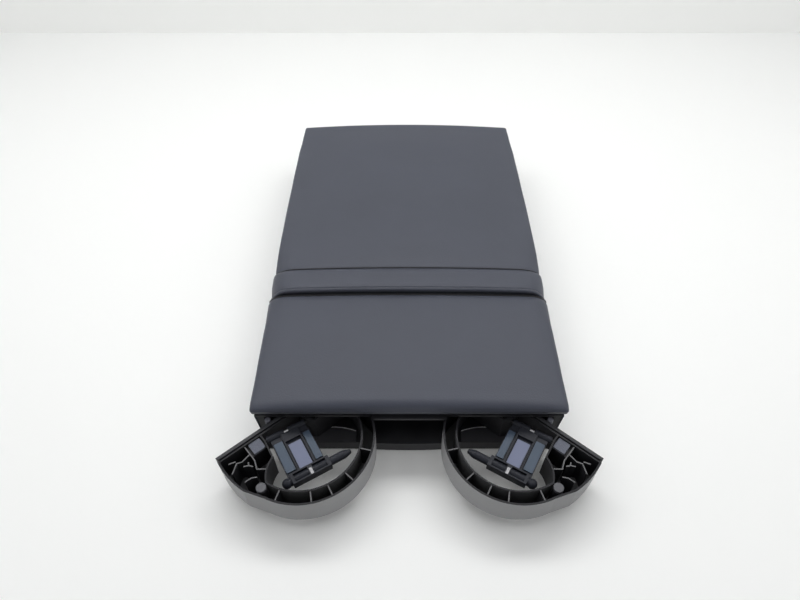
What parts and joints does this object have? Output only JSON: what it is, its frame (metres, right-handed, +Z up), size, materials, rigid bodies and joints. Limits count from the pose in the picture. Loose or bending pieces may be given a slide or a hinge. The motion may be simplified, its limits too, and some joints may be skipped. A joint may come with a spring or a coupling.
{
  "type": "car centre armrest",
  "caption": "Fold-down car centre armrest: leather-covered cushions around a cup-holder housing with swing-out rings and fold-down support flaps, hinged on a bore across its rear end.",
  "frame": {"origin": "middle of the flat arm face, on which the armrest lies upside down as pictured", "axes": "+X to the right seen from the cup-holder end, +Y towards the hinge end, +Z up out of the back face"},
  "size_m": [0.3186, 0.4946, 0.0704],
  "materials": {
    "leather": "fine grain, matt",
    "band_leather": "fine grain, matt, stitched",
    "foam": "moulded foam",
    "black_plastic": "fine moulded texture",
    "fascia_plastic": "fine moulded texture",
    "flap_plastic": "satin",
    "rod_plastic": "satin",
    "grey_plastic": "satin",
    "bearing_plastic": "satin",
    "stop_rubber": "matt",
    "felt": "short nap",
    "frame_steel": "black coat",
    "bright_steel": "zinc plated"
  },
  "bodies": {
    "armrest": {"front_panel": "leather", "rear_panel": "leather", "band": "band_leather", "arm_side_cover": "leather", "left_side_cover": "leather", "right_side_cover": "leather", "rear_cover": "leather", "back_foam": "foam", "arm_side_foam": "foam", "core_foam": "foam", "left_sill": "black_plastic", "right_sill": "black_plastic", "housing_base": "black_plastic", "housing_lid": "black_plastic", "left_hinge_cap": "black_plastic", "right_hinge_cap": "black_plastic", "left_latch_body": "black_plastic", "right_latch_body": "black_plastic", "left_hinge_bush": "bearing_plastic", "right_hinge_bush": "bearing_plastic", "left_stop_post": "stop_rubber", "right_stop_post": "stop_rubber", "frame_tube": "frame_steel", "hinge_tube": "frame_steel", "housing_screws": "bright_steel", "left_pivot_pin": "bright_steel", "right_pivot_pin": "bright_steel"},
    "left_arm": {"left_arm": "black_plastic", "left_fascia": "fascia_plastic", "left_felt_pad": "felt", "left_plug": "grey_plastic", "left_flap_pin": "bright_steel"},
    "left_flap": {"left_flap": "rod_plastic", "left_flap_plates": "flap_plastic", "left_foot_rod": "rod_plastic", "left_rod_clip": "bright_steel"},
    "left_latch": {"left_latch_plunger": "bearing_plastic"},
    "right_arm": {"right_arm": "black_plastic", "right_fascia": "fascia_plastic", "right_felt_pad": "felt", "right_plug": "grey_plastic", "right_flap_pin": "bright_steel"},
    "right_flap": {"right_flap": "rod_plastic", "right_flap_plates": "flap_plastic", "right_foot_rod": "rod_plastic", "right_rod_clip": "bright_steel"},
    "right_latch": {"right_latch_plunger": "bearing_plastic"}
  },
  "joints": [
    {"name": "left_arm_swing", "type": "hinge", "parent": "armrest", "child": "left_arm", "pos_m": [-0.08625, -0.20075, 0.03], "axis": [0, 0, 1], "range_deg": [0, 139.5], "stiffness_Nm_per_rad": 0.03, "springref_deg": -20.05},
    {"name": "right_arm_swing", "type": "hinge", "parent": "armrest", "child": "right_arm", "pos_m": [0.08625, -0.20075, 0.03], "axis": [0, 0, -1], "range_deg": [0, 139.5], "stiffness_Nm_per_rad": 0.03, "springref_deg": -20.05},
    {"name": "left_flap_drop", "type": "hinge", "parent": "left_arm", "child": "left_flap", "pos_m": [-0.10528, -0.21727, 0.0371], "axis": [0.8616, 0.5075, 0], "range_deg": [-75, 0]},
    {"name": "right_flap_drop", "type": "hinge", "parent": "right_arm", "child": "right_flap", "pos_m": [0.10528, -0.21727, 0.0371], "axis": [0.8616, -0.5075, 0], "range_deg": [-75, 0]},
    {"name": "left_latch_push", "type": "slide", "parent": "armrest", "child": "left_latch", "axis": [0, 1, 0], "range_m": [0, 0.004], "stiffness_N_per_m": 300},
    {"name": "right_latch_push", "type": "slide", "parent": "armrest", "child": "right_latch", "axis": [0, 1, 0], "range_m": [0, 0.004], "stiffness_N_per_m": 300}
  ]
}
